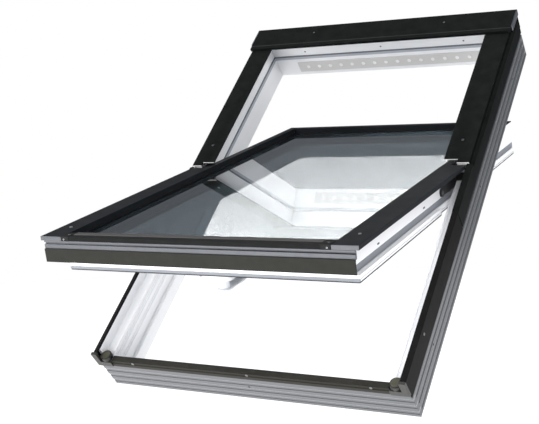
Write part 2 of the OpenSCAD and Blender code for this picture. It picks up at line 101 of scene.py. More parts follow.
# %% The camera
camera_data = bpy.data.cameras.new("camera")
camera_data.sensor_width = 36
camera_data.lens = 70.22
camera = bpy.data.objects.new("camera", camera_data)
bpy.context.scene.collection.objects.link(camera)
looking = Vector((-0.48416, 0.87358, -0.04955))
above = Vector((-0.01159, 0.05022, 0.99867))
right = looking.cross(above).normalized()
above = right.cross(looking).normalized()
aim = Matrix((right, above, -looking.normalized())).transposed().to_4x4()
camera.matrix_world = Matrix.Translation((1.1595, -2.4245, 0.1303)) @ aim
bpy.context.scene.camera = camera
print("camera", round(camera.location.length, 2), "m from the middle of the window")

# %% [markdown]
# ## The studio
# The window hangs in a white room, and the sky that lights it is soft. What the camera sees past
# the window is plain white, and what shines through the glass is brighter still, as a lit paper
# backdrop is. Telling such a ray from the others takes a few sums on how often it has bounced.

# %% Sums in a node tree
def math_node(tree, operation, *values, clamp=False):
    node = tree.nodes.new("ShaderNodeMath")
    node.operation, node.use_clamp = operation, clamp
    for socket, value in zip(node.inputs, values):
        if isinstance(value, (int, float)):
            socket.default_value = value
        else:
            tree.links.new(value, socket)
    return node.outputs[0]


def straight_through(tree):
    """1 for a view ray that only passed through glass, and 0 for light on its way to a surface."""
    path = tree.nodes.new("ShaderNodeLightPath")
    depths = path.outputs["Diffuse Depth"], path.outputs["Glossy Depth"]
    bounced = math_node(tree, "ADD", *depths, clamp=True)
    return math_node(tree, "SUBTRACT", path.outputs["Is Transmission Ray"], bounced, clamp=True)


BEHIND_GLASS = (360.0, 290.0, 266.0)
print("behind the glass:", BEHIND_GLASS)

# %% [markdown]
# The sky has two ramps. The soft one lights matt faces and runs from a bright left to a dimmer
# right, so that the two sides of the window differ. The other is what glossy faces mirror: a greyer
# room, lighter below than above, so that dark sheet stays dark.

# %% The soft surroundings
world = bpy.data.worlds.new("studio")
bpy.context.scene.world = world
bpy.context.scene.view_settings.view_transform = "Standard"
world.use_nodes = True
sky = world.node_tree
sky.nodes.clear()


def sky_node(kind, **values):
    node = sky.nodes.new(kind)
    for key, value in values.items():
        setattr(node, key, value)
    return node


def sky_ramp(coordinate, low, high):
    """A colour that runs from low to high as a coordinate of the direction goes from -1 to 1."""
    spread = sky_node("ShaderNodeMapRange")
    spread.inputs["From Min"].default_value = -1.0
    sky.links.new(coordinate, spread.inputs["Value"])
    ramp = sky_node("ShaderNodeValToRGB")
    for stop, colour in zip(ramp.color_ramp.elements, (low, high)):
        stop.color = (*colour, 1)
    sky.links.new(spread.outputs[0], ramp.inputs[0])
    return ramp.outputs[0]


def sky_choice(mask, a, b):
    """One colour where the mask is 0, and the other where it is 1."""
    choice = sky_node("ShaderNodeMix", data_type="RGBA")
    sky.links.new(mask, choice.inputs["Factor"])
    for value, socket in ((a, choice.inputs["A"]), (b, choice.inputs["B"])):
        if isinstance(value, tuple):
            socket.default_value = (*value, 1)
        else:
            sky.links.new(value, socket)
    return choice.outputs["Result"]


rays = sky_node("ShaderNodeLightPath")
direction = sky_node("ShaderNodeTexCoord")
split_sky = sky_node("ShaderNodeSeparateXYZ")
sky.links.new(direction.outputs["Generated"], split_sky.inputs[0])
mirrored_room = sky_ramp(split_sky.outputs["Z"], (0.26, 0.27, 0.29), (0.07, 0.08, 0.09))
soft_light = sky_ramp(split_sky.outputs["X"], (1.20, 1.20, 1.22), (0.52, 0.53, 0.56))
lit = sky_choice(rays.outputs["Is Glossy Ray"], soft_light, mirrored_room)
through = sky_choice(straight_through(sky), lit, BEHIND_GLASS)
seen = sky_choice(rays.outputs["Is Camera Ray"], through, (1.0, 1.0, 1.0))
backdrop = sky_node("ShaderNodeBackground")
sky.links.new(seen, backdrop.inputs["Color"])
sky.links.new(backdrop.outputs[0], sky_node("ShaderNodeOutputWorld").inputs["Surface"])
print("sky with", len(sky.nodes), "nodes")

# %% [markdown]
# Three large area lights add direction to the soft sky. A big light gives soft shadows, because
# each point of the window sees only part of it. The main one is at the front and right, above the
# window, and a second fills from the left. The third lies low in front, as a white board would, and
# lifts the faces that look down. Glossy faces don't mirror it, or the metal would turn white.

# %% The lights
def softbox(name, spot, target, size, power):
    data = bpy.data.lights.new(name, "AREA")
    data.shape, data.size, data.size_y, data.energy = "RECTANGLE", size[0], size[1], power
    lamp = bpy.data.objects.new(name, data)
    bpy.context.scene.collection.objects.link(lamp)
    lamp.location = spot
    lamp.rotation_euler = (Vector(target) - Vector(spot)).to_track_quat("-Z", "Y").to_euler()
    print(name, power, "W")
    return lamp


softbox("key_light", (2.6, -1.6, 2.4), (0, 0, 0.1), (2.2, 1.6), 62)
softbox("fill_light", (-2.8, -2.2, 1.0), (0, 0, 0), (2.0, 2.0), 55)
reflector = softbox("reflector", (-0.5, -2.4, -0.7), (0, 0.35, 0.4), (1.8, 1.2), 30)
reflector.visible_glossy = False

# %% [markdown]
# The floor is a plain pale disc, well below the window, since the window is held in a roof and stands on nothing.
# It glows a little, and more so for matt faces, which evens out the light from below. It isn't part of the object.

# %% The floor
def let_go():
    if bpy.context.mode != "OBJECT":
        bpy.ops.object.mode_set(mode="OBJECT")
    bpy.ops.object.select_all(action="DESELECT")


let_go()
bpy.ops.mesh.primitive_circle_add(vertices=96, radius=9, fill_type="NGON", location=(0, 2, -1.3))
floor = bpy.context.object
floor.name = "floor"
floor_paint = bpy.data.materials.new("pale_floor")
floor_paint.use_nodes = True
floor_shader = floor_paint.node_tree.nodes["Principled BSDF"]
floor_shader.inputs["Base Color"].default_value = (0.92, 0.92, 0.92, 1)
floor_shader.inputs["Roughness"].default_value = 0.9
floor_tree = floor_paint.node_tree
floor_rays = floor_tree.nodes.new("ShaderNodeLightPath")
glow, glow_on_matt_faces = 0.35, 0.55
plain_glow = math_node(
    floor_tree, "MULTIPLY_ADD", floor_rays.outputs["Is Diffuse Ray"], glow_on_matt_faces, glow
)
floor_glow = floor_tree.nodes.new("ShaderNodeMix")
floor_glow.data_type = "RGBA"
floor_tree.links.new(straight_through(floor_tree), floor_glow.inputs["Factor"])
floor_tree.links.new(plain_glow, floor_glow.inputs["A"])
floor_glow.inputs["B"].default_value = (*BEHIND_GLASS, 1)
floor_tree.links.new(floor_glow.outputs["Result"], floor_shader.inputs["Emission Color"])
floor_shader.inputs["Emission Strength"].default_value = 1.0
floor.data.materials.append(floor_paint)

# %% [markdown]
# ## Shared finishes
# Four small effects come back in many materials, so each is a node group: a fine grain for moulded
# and powder-coated faces, the faint lines that drawing or extruding leaves along a length, the
# bright rub along an edge, and a little dust that settles on faces that look up. A group gives
# only numbers that change over the surface. The shader itself stays in each material.

# %% A helper for node groups
def start_group(name, inputs, outputs):
    tree = bpy.data.node_groups.new(name, "ShaderNodeTree")
    for label, kind, value in inputs:
        socket = tree.interface.new_socket(label, in_out="INPUT", socket_type=kind)
        if value is not None:
            socket.default_value = value
    for label in outputs:
        tree.interface.new_socket(label, in_out="OUTPUT", socket_type="NodeSocketFloat")
    return tree, tree.nodes.new("NodeGroupInput"), tree.nodes.new("NodeGroupOutput")


# %% [markdown]
# The grain is two noises. A fine one, set by its pitch in metres, is the height of the bumps. A
# broad cloud is a slow change of tone, which keeps a large face from looking like paper.

# %% The grain of moulded and coated faces
grain, g_in, g_out = start_group(
    "fine grain",
    [("Vector", "NodeSocketVector", None), ("Pitch", "NodeSocketFloat", 0.002)],
    ["Height", "Tone"],
)
g_scale = math_node(grain, "DIVIDE", 1.0, g_in.outputs["Pitch"])
g_noise = grain.nodes.new("ShaderNodeTexNoise")
g_noise.inputs["Detail"].default_value = 3
grain.links.new(g_in.outputs["Vector"], g_noise.inputs["Vector"])
grain.links.new(g_scale, g_noise.inputs["Scale"])
g_cloud = grain.nodes.new("ShaderNodeTexNoise")
g_cloud.inputs["Scale"].default_value = 9
g_cloud.inputs["Detail"].default_value = 4
grain.links.new(g_in.outputs["Vector"], g_cloud.inputs["Vector"])
grain.links.new(g_noise.outputs["Fac"], g_out.inputs["Height"])
grain.links.new(g_cloud.outputs["Fac"], g_out.inputs["Tone"])
print("group:", grain.name)

# %% [markdown]
# Drawn lines are noise squeezed hard in two directions and left long in the third. The third is
# the direction the bar was pulled in, which each material sets with its own mapping.

# %% Lines along a drawn bar
drawn, d_in, d_out = start_group(
    "drawn lines",
    [("Vector", "NodeSocketVector", None), ("Pitch", "NodeSocketFloat", 0.0015)],
    ["Height", "Tone"],
)
d_scale = math_node(drawn, "DIVIDE", 1.0, d_in.outputs["Pitch"])
d_stretch = drawn.nodes.new("ShaderNodeVectorMath")
d_stretch.operation = "MULTIPLY"
d_stretch.inputs[1].default_value = (1, 0.008, 1)
drawn.links.new(d_in.outputs["Vector"], d_stretch.inputs[0])
d_noise = drawn.nodes.new("ShaderNodeTexNoise")
d_noise.inputs["Detail"].default_value = 2
drawn.links.new(d_stretch.outputs[0], d_noise.inputs["Vector"])
drawn.links.new(d_scale, d_noise.inputs["Scale"])
drawn.links.new(d_noise.outputs["Fac"], d_out.inputs["Height"])
drawn.links.new(d_noise.outputs["Fac"], d_out.inputs["Tone"])
print("group:", drawn.name)

# %% [markdown]
# An edge is where a surface bends outwards. Blender measures that as pointiness: one half on a flat
# face, more on an outer edge. Noise breaks the rub up, so that it doesn't look drawn with a pen.

# %% Rubbed edges and settled dust
rub, r_in, r_out = start_group(
    "rubbed edge",
    [("Vector", "NodeSocketVector", None), ("Amount", "NodeSocketFloat", 0.5)],
    ["Mask"],
)
r_bend = rub.nodes.new("ShaderNodeNewGeometry")
flat_pointiness, rub_gain = 0.53, 9
r_past_flat = math_node(rub, "SUBTRACT", r_bend.outputs["Pointiness"], flat_pointiness)
r_edge = math_node(rub, "MULTIPLY", r_past_flat, rub_gain, clamp=True)
r_noise = rub.nodes.new("ShaderNodeTexNoise")
r_noise.inputs["Scale"].default_value = 60
rub.links.new(r_in.outputs["Vector"], r_noise.inputs["Vector"])
r_broken = math_node(rub, "MULTIPLY", r_edge, r_noise.outputs["Fac"])
r_mask = math_node(rub, "MULTIPLY", r_broken, r_in.outputs["Amount"], clamp=True)
rub.links.new(r_mask, r_out.inputs["Mask"])

dust, u_in, u_out = start_group(
    "settled dust",
    [("Vector", "NodeSocketVector", None), ("Amount", "NodeSocketFloat", 0.2)],
    ["Mask"],
)
u_normal = dust.nodes.new("ShaderNodeNewGeometry")
u_split = dust.nodes.new("ShaderNodeSeparateXYZ")
dust.links.new(u_normal.outputs["Normal"], u_split.inputs[0])
u_noise = dust.nodes.new("ShaderNodeTexNoise")
u_noise.inputs["Scale"].default_value = 34
u_noise.inputs["Detail"].default_value = 6
dust.links.new(u_in.outputs["Vector"], u_noise.inputs["Vector"])
u_up = math_node(dust, "MULTIPLY", u_split.outputs["Z"], u_noise.outputs["Fac"], clamp=True)
u_mask = math_node(dust, "MULTIPLY", u_up, u_in.outputs["Amount"], clamp=True)
dust.links.new(u_mask, u_out.inputs["Mask"])
print("groups:", rub.name, "and", dust.name)

# %% [markdown]
# ## Materials
# Every finish starts from the same few lines: a Principled shader, the point on the piece in the
# roof's or the sash's own directions, and the groups that the finish uses. Keeping the pattern in
# those directions makes drawn lines follow the bars, whichever way the sash is turned.

# %% Start a finish
class Finish:
    """A material being built: its node tree, its shader, and the point in flat directions."""

    def __init__(self, name, place=ROOF):
        self.material = bpy.data.materials.new(name)
        self.material.use_nodes = True
        self.tree = self.material.node_tree
        self.shader = self.tree.nodes["Principled BSDF"]
        where = self.tree.nodes.new("ShaderNodeTexCoord")
        flatten = self.tree.nodes.new("ShaderNodeMapping")
        back = place.inverted()
        flatten.inputs["Location"].default_value = back.to_translation()
        flatten.inputs["Rotation"].default_value = back.to_euler()
        self.link(where.outputs["Object"], flatten.inputs["Vector"])
        self.point = flatten.outputs["Vector"]

    def link(self, a, b):
        self.tree.links.new(a, b)

    def set(self, **values):
        for label, value in values.items():
            self.shader.inputs[label.replace("_", " ")].default_value = value

    def group(self, tree, **values):
        node = self.tree.nodes.new("ShaderNodeGroup")
        node.node_tree = tree
        self.link(self.point, node.inputs["Vector"])
        for label, value in values.items():
            node.inputs[label].default_value = value
        return node

    def mix(self, mask, a, b):
        node = self.tree.nodes.new("ShaderNodeMix")
        node.data_type = "RGBA"
        self.link(mask, node.inputs["Factor"])
        for value, socket in ((a, node.inputs["A"]), (b, node.inputs["B"])):
            if isinstance(value, tuple):
                socket.default_value = (*value, 1)
            else:
                self.link(value, socket)
        return node.outputs["Result"]

    def scale(self, value, low, high):
        node = self.tree.nodes.new("ShaderNodeMapRange")
        self.link(value, node.inputs["Value"])
        node.inputs["To Min"].default_value, node.inputs["To Max"].default_value = low, high
        return node.outputs[0]

    def bump(self, height, depth, strength=1.0):
        node = self.tree.nodes.new("ShaderNodeBump")
        node.inputs["Distance"].default_value = depth
        node.inputs["Strength"].default_value = strength
        self.link(height, node.inputs["Height"])
        self.link(node.outputs[0], self.shader.inputs["Normal"])


# %% [markdown]
# Folded aluminium sheet on such a window is powder coated. The powder melts into a skin with a
# very slight orange peel. It is matt, nearly black, and a touch paler along worn edges.

# %% Powder-coated sheet
def powder_coat(name, colour, rough, place=ROOF, rubbed=0.35, dusty=0.05, specular=0.1):
    coat = Finish(name, place)
    peel = coat.group(grain, Pitch=0.0016)
    deep = tuple(c * 0.82 for c in colour)
    pale = tuple(min(1, c * 1.5 + 0.05) for c in colour)
    tone = coat.mix(peel.outputs["Tone"], deep, colour)
    tone = coat.mix(coat.group(dust, Amount=dusty).outputs["Mask"], tone, (0.42, 0.41, 0.39))
    tone = coat.mix(coat.group(rub, Amount=rubbed).outputs["Mask"], tone, pale)
    coat.link(tone, coat.shader.inputs["Base Color"])
    shine = coat.scale(peel.outputs["Tone"], rough - 0.05, rough + 0.07)
    coat.link(shine, coat.shader.inputs["Roughness"])
    coat.set(Specular_IOR_Level=specular)
    coat.bump(peel.outputs["Height"], 0.00004, 0.6)
    print("finish:", name)
    return coat.material


dark_sheet = powder_coat("dark_sheet", (0.0030, 0.0043, 0.0040), 0.46, dusty=0.03, specular=0.06)
side_sheet = powder_coat("side_sheet", (0.0060, 0.0056, 0.0054), 0.44, dusty=0.02, specular=0.035)
dark_sash_sheet = powder_coat("dark_sash_sheet", (0.0085, 0.0105, 0.0130), 0.44, SASH)
brown_sheet = powder_coat("brown_sheet", (0.019, 0.018, 0.014), 0.42)
# paler than the hood's dark sheet: a painted highlight along the hood's bead
hem_painted_highlight = powder_coat("hem_painted_highlight", (0.024, 0.026, 0.027), 0.40)
brown_sash_sheet = powder_coat("brown_sash_sheet", (0.021, 0.0215, 0.0175), 0.42, SASH)
trim_sheet = powder_coat("trim_sheet", (0.0060, 0.0062, 0.0064), 0.36, SASH)
bead_sheet = powder_coat("bead_sheet", (0.085, 0.082, 0.080), 0.34, SASH, dusty=0.02)

# %% [markdown]
# The plastic bars of frame and sash are extruded: white, satin, with faint lines along them. The
# sash's is that and no more.

# %% The white of the sash
WHITE = (0.90, 0.905, 0.92)
BAR_LINES = 0.0022


def extruded_white(finish):
    """Sets the gloss and the lines of an extruded bar. Returns its lines and its white tone."""
    lines = finish.group(drawn, Pitch=BAR_LINES)
    finish.link(finish.scale(lines.outputs["Tone"], 0.28, 0.40), finish.shader.inputs["Roughness"])
    finish.bump(lines.outputs["Height"], 0.00005, 0.5)
    return lines, finish.mix(lines.outputs["Tone"], tuple(c * 0.95 for c in WHITE), WHITE)


sash_pvc = Finish("sash_plastic", SASH)
sash_pvc.link(extruded_white(sash_pvc)[1], sash_pvc.shader.inputs["Base Color"])
sash_plastic = sash_pvc.material
print("finish:", sash_plastic.name)

# %% [markdown]
# On the outer faces of the frame a grey skin is extruded with the white. One bar then has two colours that meet at
# its edges. Telling them apart by place in the roof's own directions needs no painting by hand: beyond a certain x
# or y is the outside. The grey also gets a painted highlight: a light line along the upper edge of each groove,
# standing in for the light that the rib's edge catches, so height decides about those.

# %% Two-coloured frame profile
EDGE_BLUR = 0.0004


def over(finish, coordinate, limit):
    """1 where a coordinate is over the limit, and 0 where it is under."""
    past = math_node(finish.tree, "SUBTRACT", coordinate, limit)
    return math_node(finish.tree, "DIVIDE", past, EDGE_BLUR, clamp=True)


def over_either_way(finish, coordinate, limit):
    return over(finish, math_node(finish.tree, "ABSOLUTE", coordinate), limit)


skin_depth = 0.0036
rib_pitch, highlight_start, highlight_width = 0.022, 0.0165, 0.0022
profile = Finish("frame_profile")
split = profile.tree.nodes.new("ShaderNodeSeparateXYZ")
profile.link(profile.point, split.inputs[0])
lines, white_tone = extruded_white(profile)
grey_tone = profile.mix(lines.outputs["Tone"], (0.070, 0.074, 0.080), (0.104, 0.108, 0.115))
from_first_highlight = math_node(profile.tree, "SUBTRACT", split.outputs["Z"], highlight_start)
along = math_node(profile.tree, "FLOORED_MODULO", from_first_highlight, rib_pitch)
on_painted_highlight = math_node(profile.tree, "LESS_THAN", along, highlight_width)
# painted highlight: a lighter grey line at the upper edge of each groove, where the rib's edge catches light
grey_tone = profile.mix(on_painted_highlight, grey_tone, (0.36, 0.365, 0.38))
outside_x = over_either_way(profile, split.outputs["X"], half_width - skin_depth)
outside_y = over_either_way(profile, split.outputs["Y"], frame_top - skin_depth)
outside = math_node(profile.tree, "MAXIMUM", outside_x, outside_y)
profile.link(profile.mix(outside, white_tone, grey_tone), profile.shader.inputs["Base Color"])
frame_profile = profile.material
print("finish:", frame_profile.name)

# %% [markdown]
# The seal round the upper half is pale at its foot, grey on its lip, and dark where the lip folds
# along its outer edge. The three tones part at two heights over the room face.

# %% Three-toned seal
seal_high = flat_box("upper_seal")[1].z
dark_part, lip_part = 0.004, 0.012
seal = Finish("upper_seal_rubber")
seal_split = seal.tree.nodes.new("ShaderNodeSeparateXYZ")
seal.link(seal.point, seal_split.inputs[0])
seal_lines = seal.group(drawn, Pitch=BAR_LINES)
on_fold = over(seal, seal_split.outputs["Z"], seal_high - dark_part)
on_lip = over(seal, seal_split.outputs["Z"], seal_high - lip_part)
lip = seal.mix(seal_lines.outputs["Tone"], (0.36, 0.38, 0.42), (0.46, 0.48, 0.52))
lip = seal.mix(on_lip, (0.86, 0.87, 0.89), lip)
seal.link(seal.mix(on_fold, lip, (0.15, 0.16, 0.18)), seal.shader.inputs["Base Color"])
seal.set(Roughness=0.55, Specular_IOR_Level=0.3)
seal.bump(seal_lines.outputs["Height"], 0.00008, 0.6)
upper_seal_rubber = seal.material
print("finish:", upper_seal_rubber.name)

# %% [markdown]
# Metal trims, screws and plates share one recipe: full metal, a grey tone, and lines or grain that
# blur what they mirror.

# %% Bare and coated metals
def metal(name, colour, rough, place=ROOF, lined=True, rubbed=0.2):
    bare = Finish(name, place)
    mark = bare.group(drawn if lined else grain, Pitch=0.0011)
    tone = bare.mix(mark.outputs["Tone"], tuple(c * 0.86 for c in colour), colour)
    tone = bare.mix(bare.group(rub, Amount=rubbed).outputs["Mask"], tone, (0.9, 0.9, 0.9))
    bare.link(tone, bare.shader.inputs["Base Color"])
    shine = bare.scale(mark.outputs["Tone"], rough - 0.06, rough + 0.08)
    bare.link(shine, bare.shader.inputs["Roughness"])
    bare.set(Metallic=1.0)
    bare.bump(mark.outputs["Height"], 0.00003, 0.4)
    print("finish:", name)
    return bare.material


pale_trim = metal("pale_trim", (0.46, 0.47, 0.50), 0.36, SASH)
cap_metal = metal("cap_metal", (0.205, 0.212, 0.230), 0.36, SASH)
spacer_silver = metal("spacer_silver", (0.62, 0.65, 0.68), 0.3, SASH)
screw_steel = metal("screw_steel", (0.30, 0.30, 0.30), 0.34, ROOF, lined=False)
bright_steel = metal("bright_steel", (0.66, 0.66, 0.67), 0.28, ROOF, lined=False)

# %% [markdown]
# Handle, blocks, caps, seals and enamelled plates are of one colour each. They share a recipe too:
# moulded grain, a trace of dust, and a shine that runs from a polished handle to dull rubber.

# %% Plastic, enamel and rubber
def plain_plastic(name, colour, rough, place=ROOF, depth=0.00003, specular=0.5):
    skin = Finish(name, place)
    mark = skin.group(grain, Pitch=0.0012)
    tone = skin.mix(mark.outputs["Tone"], tuple(c * 0.9 for c in colour), colour)
    tone = skin.mix(skin.group(dust, Amount=0.04).outputs["Mask"], tone, (0.5, 0.49, 0.47))
    skin.link(tone, skin.shader.inputs["Base Color"])
    shine = skin.scale(mark.outputs["Tone"], rough - 0.05, rough + 0.06)
    skin.link(shine, skin.shader.inputs["Roughness"])
    skin.set(Specular_IOR_Level=specular)
    skin.bump(mark.outputs["Height"], depth, 0.6)
    print("finish:", name)
    return skin.material


# The handle is the sash's white plastic; its greyer tone is painted shade, so that it shows against the bright
# whites.
handle_plastic = plain_plastic("handle_plastic", (0.62, 0.63, 0.66), 0.28, SASH)
black_enamel = plain_plastic("black_enamel", (0.012, 0.012, 0.013), 0.3, SASH)
black_plastic = plain_plastic("black_plastic", (0.014, 0.014, 0.013), 0.42)
black_rubber = plain_plastic(
    "black_rubber", (0.010, 0.010, 0.010), 0.6, SASH, depth=0.00006, specular=0.3
)
block_plastic = plain_plastic("block_plastic", (0.026, 0.025, 0.022), 0.4)
plug_plastic = plain_plastic("plug_plastic", (0.062, 0.060, 0.038), 0.45)
cap_white = plain_plastic("cap_white", (0.95, 0.95, 0.95), 0.35)
strip_grey = plain_plastic("strip_grey", (0.24, 0.255, 0.28), 0.4, SASH)
seal_grey = plain_plastic(
    "seal_grey", (0.12, 0.13, 0.145), 0.55, SASH, depth=0.00006, specular=0.3
)
vent_silver = plain_plastic("vent_silver", (0.66, 0.65, 0.635), 0.4)

# %% [markdown]
# The glass is a real refracting solid, not a see-through sheet. Its outer pane has the cool tint of
# a coating against the sun. The coating mirrors light that comes from outside the pane and lets
# out what is already in it, so its weight is nought on the back of a face.

# %% Glass
def glass(name, colour, coated):
    pane = Finish(name, SASH)
    smear = pane.group(grain, Pitch=0.05)
    tint = pane.mix(smear.outputs["Tone"], tuple(c * 0.985 for c in colour), colour)
    pane.link(tint, pane.shader.inputs["Base Color"])
    pane.set(Roughness=0.0, IOR=1.5, Transmission_Weight=1.0, Coat_IOR=2.5, Coat_Roughness=0.0)
    if coated:
        side = pane.tree.nodes.new("ShaderNodeNewGeometry")
        on_front = math_node(pane.tree, "SUBTRACT", 1.0, side.outputs["Backfacing"], clamp=True)
        pane.link(on_front, pane.shader.inputs["Coat Weight"])
    print("finish:", name)
    return pane.material


outer_glass = glass("outer_glass", (0.245, 0.300, 0.330), coated=True)
inner_glass = glass("inner_glass", (0.90, 0.95, 0.96), coated=False)

# %% [markdown]
# ## Rounding the edges
# A CAD solid has edges of no width, which catch no light. Real sheet has a fold radius and real
# plastic has a corner radius, and it is their thin highlight that makes a thing look made. So each
# hard piece is copied, its loose triangles are joined into whole faces, and its edges get a bevel
# of the true size. The copy then stands for the CAD piece, which stays for the motion model.

# %% Stand in for a CAD piece
def wear(piece, finish, node, replaces=()):
    """Gives a piece its material and lets it move with the body of a CAD node."""
    piece.data.materials.clear()
    piece.data.materials.append(finish)
    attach(piece, body_of[node])
    if replaces:
        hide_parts(*replaces)
    return piece


def only(piece):
    let_go()
    piece.select_set(True)
    bpy.context.view_layer.objects.active = piece
    return piece


def apply_bevel(piece, radius, segments, angle=30):
    bevel = piece.modifiers.new("bevel", "BEVEL")
    bevel.width, bevel.segments = radius, segments
    bevel.limit_method, bevel.angle_limit = "ANGLE", math.radians(angle)
    bevel.use_clamp_overlap = True
    bevel.harden_normals = False
    bpy.ops.object.modifier_apply(modifier=bevel.name)


def smooth_faces(piece, angle=38):
    only(piece)
    bpy.ops.object.shade_smooth_by_angle(angle=math.radians(angle))
    weigh = piece.modifiers.new("even", "WEIGHTED_NORMAL")
    weigh.keep_sharp = True
    bpy.ops.object.modifier_apply(modifier=weigh.name)


def rounded(node, finish, radius, segments=2):
    piece = bpy.data.objects.new(node + "_rounded", nodes[node].data.copy())
    bpy.context.scene.collection.objects.link(piece)
    only(piece)
    bpy.ops.object.mode_set(mode="EDIT")
    bpy.ops.mesh.select_all(action="SELECT")
    bpy.ops.mesh.remove_doubles(threshold=0.00001)
    bpy.ops.mesh.dissolve_limited(angle_limit=math.radians(1))
    bpy.ops.object.mode_set(mode="OBJECT")
    apply_bevel(piece, radius, segments)
    smooth_faces(piece)
    return wear(piece, finish, node, [node])


# %% [markdown]
# Each finish is listed with the pieces that wear it. Plastic has the roundest edges, folded sheet
# is sharper, and cut trims are the sharpest.

# %% Round the plastic, the sheet and the trims
SIDES = ("left", "right")
plastic_radius, sheet_radius, trim_radius = 0.0012, 0.0007, 0.0005
rounding = {
    frame_profile: ["frame_left_jamb", "frame_right_jamb", "frame_head", "frame_sill"],
    sash_plastic: ["sash_left_stile", "sash_right_stile", "sash_bottom_rail", "sash_top_rail"],
    dark_sheet: ["hood"]
    + [f"{n}_{s}" for s in SIDES for n in ("upper_cover", "side_cladding_upper")],
    dark_sash_sheet: ["sash_top_cladding"]
    + [f"{n}_{s}" for s in SIDES for n in ("sash_cover", "sash_upper_cladding")],
    side_sheet: [f"side_cladding_lower_{s}" for s in SIDES],
    brown_sheet: ["sill_cladding"],
    brown_sash_sheet: ["sash_skirt"],
    trim_sheet: ["sash_bottom_trim"],
    pale_trim: [f"{n}_{s}" for s in SIDES for n in ("hood_end_cap", "cover_end_trim")],
    cap_metal: ["sash_bottom_band"] + [f"sash_cover_cap_{s}" for s in SIDES],
    block_plastic: [f"sill_end_block_{s}" for s in SIDES],
    black_plastic: [f"corner_plug_{s}" for s in SIDES],
    black_enamel: [f"{n}_{s}" for s in SIDES for n in ("hinge_sash_plate", "hinge_frame_plate")],
    bright_steel: ["lock_keep", "latch_bolt"],
    spacer_silver: ["pane_spacer"],
    vent_silver: ["vent_strip"],
    handle_plastic: ["handle_base", "handle_lever"],
}
radius_of = {frame_profile: plastic_radius, sash_plastic: plastic_radius}
sheets = (dark_sheet, side_sheet, dark_sash_sheet, brown_sheet, brown_sash_sheet, trim_sheet)
radius_of.update({m: sheet_radius for m in sheets})
for finish, group in rounding.items():
    for node in group:
        piece = rounded(node, finish, radius_of.get(finish, trim_radius))
    print(finish.name, len(group), "pieces, the last with", len(piece.data.polygons), "faces")

# %% [markdown]
# Glass, gaskets and seals are right as the CAD has them, so they stay and only change their finish.

# %% Plain CAD pieces that only need a finish
soft_and_clear = {
    "outer_pane": outer_glass,
    "inner_pane": inner_glass,
    "bedding_gasket": black_rubber,
    "glazing_gasket": black_rubber,
    "sash_seal": black_rubber,
    "upper_seal": upper_seal_rubber,
}
for node, finish in soft_and_clear.items():
    nodes[node].data.materials.clear()
    nodes[node].data.materials.append(finish)
print("kept from CAD:", ", ".join(soft_and_clear))

# %% [markdown]
# ## Small parts, modelled one by one
# From here on each new piece is modelled with Blender's own tools. It starts as a primitive at its
# size and place in flat directions, is shaped in edit mode, and is laid in the roof or the sash by
# moving its mesh, so that its object stays at the origin. Faces are picked by the way they look:
# towards the sky, the room, the eaves or the side.

# %% Make a block and pick its faces
MM = 0.001
UP, ROOMWARD, DOWNHILL, OUTWARD = (
    Vector(d) for d in ((0, 0, 1), (0, 0, -1), (0, -1, 0), (1, 0, 0))
)


def block(name, low, high):
    """A box between two corners, given in metres in flat directions."""
    let_go()
    low, high = Vector(low), Vector(high)
    bpy.ops.mesh.primitive_cube_add(size=1, location=(low + high) / 2, scale=high - low)
    bpy.ops.object.transform_apply(location=True, rotation=True, scale=True)
    bpy.context.object.name = name
    return bpy.context.object


def pick(piece, *directions):
    """Selects, in edit mode, the faces that look along one of the directions."""
    if bpy.context.mode == "OBJECT":
        only(piece)
        bpy.ops.object.mode_set(mode="EDIT")
    bpy.ops.mesh.select_mode(type="FACE")
    bpy.ops.mesh.select_all(action="DESELECT")
    shape = bmesh.from_edit_mesh(piece.data)
    for face in shape.faces:
        face.select_set(any(face.normal.dot(d) > 0.9 for d in directions))
    bmesh.update_edit_mesh(piece.data)


# %% [markdown]
# Three shapes come back in nearly every small part. A dish is a face with a rim left standing round
# it. A half-round is a bar whose upper edges are bevelled until they nearly meet. And every part
# ends with a fine rounding of all its edges, which catches the light.

# %% Shape and soften
def dished(piece, rim, push, *directions, each=False):
    """Insets the picked faces by a rim, and pushes what is inside it."""
    pick(piece, *directions)
    bpy.ops.mesh.inset(thickness=rim, use_individual=each)
    bpy.ops.transform.translate(value=push)
    bpy.ops.object.mode_set(mode="OBJECT")
    return piece


def half_round(piece, radius, *directions):
    """Bevels round the picked faces, and smooths the whole."""
    pick(piece, *directions)
    bpy.ops.mesh.bevel(offset=radius, segments=4, affect="EDGES")
    bpy.ops.object.mode_set(mode="OBJECT")
    smooth_faces(piece, 50)
    return piece


def soften(piece, radius, segments=2, angle=40):
    """Rounds the edges and smooths the faces."""
    only(piece)
    apply_bevel(piece, radius, segments, angle)
    smooth_faces(piece, 50)
    return piece


# %% [markdown]
# Both sides of the window are alike. A part is modelled on the right, and its twin is the same mesh
# mirrored across the middle. Mirroring turns a mesh inside out, so its faces are flipped back.

# %% Join, copy, mirror and lay
def joined(name, pieces):
    let_go()
    for piece in pieces:
        piece.select_set(True)
    bpy.context.view_layer.objects.active = pieces[0]
    bpy.ops.object.join()
    pieces[0].name = name
    return pieces[0]


def copy_of(piece):
    twin = piece.copy()
    twin.data = piece.data.copy()
    bpy.context.scene.collection.objects.link(twin)
    return twin


def lay(piece, place):
    piece.data.transform(place)
    return piece


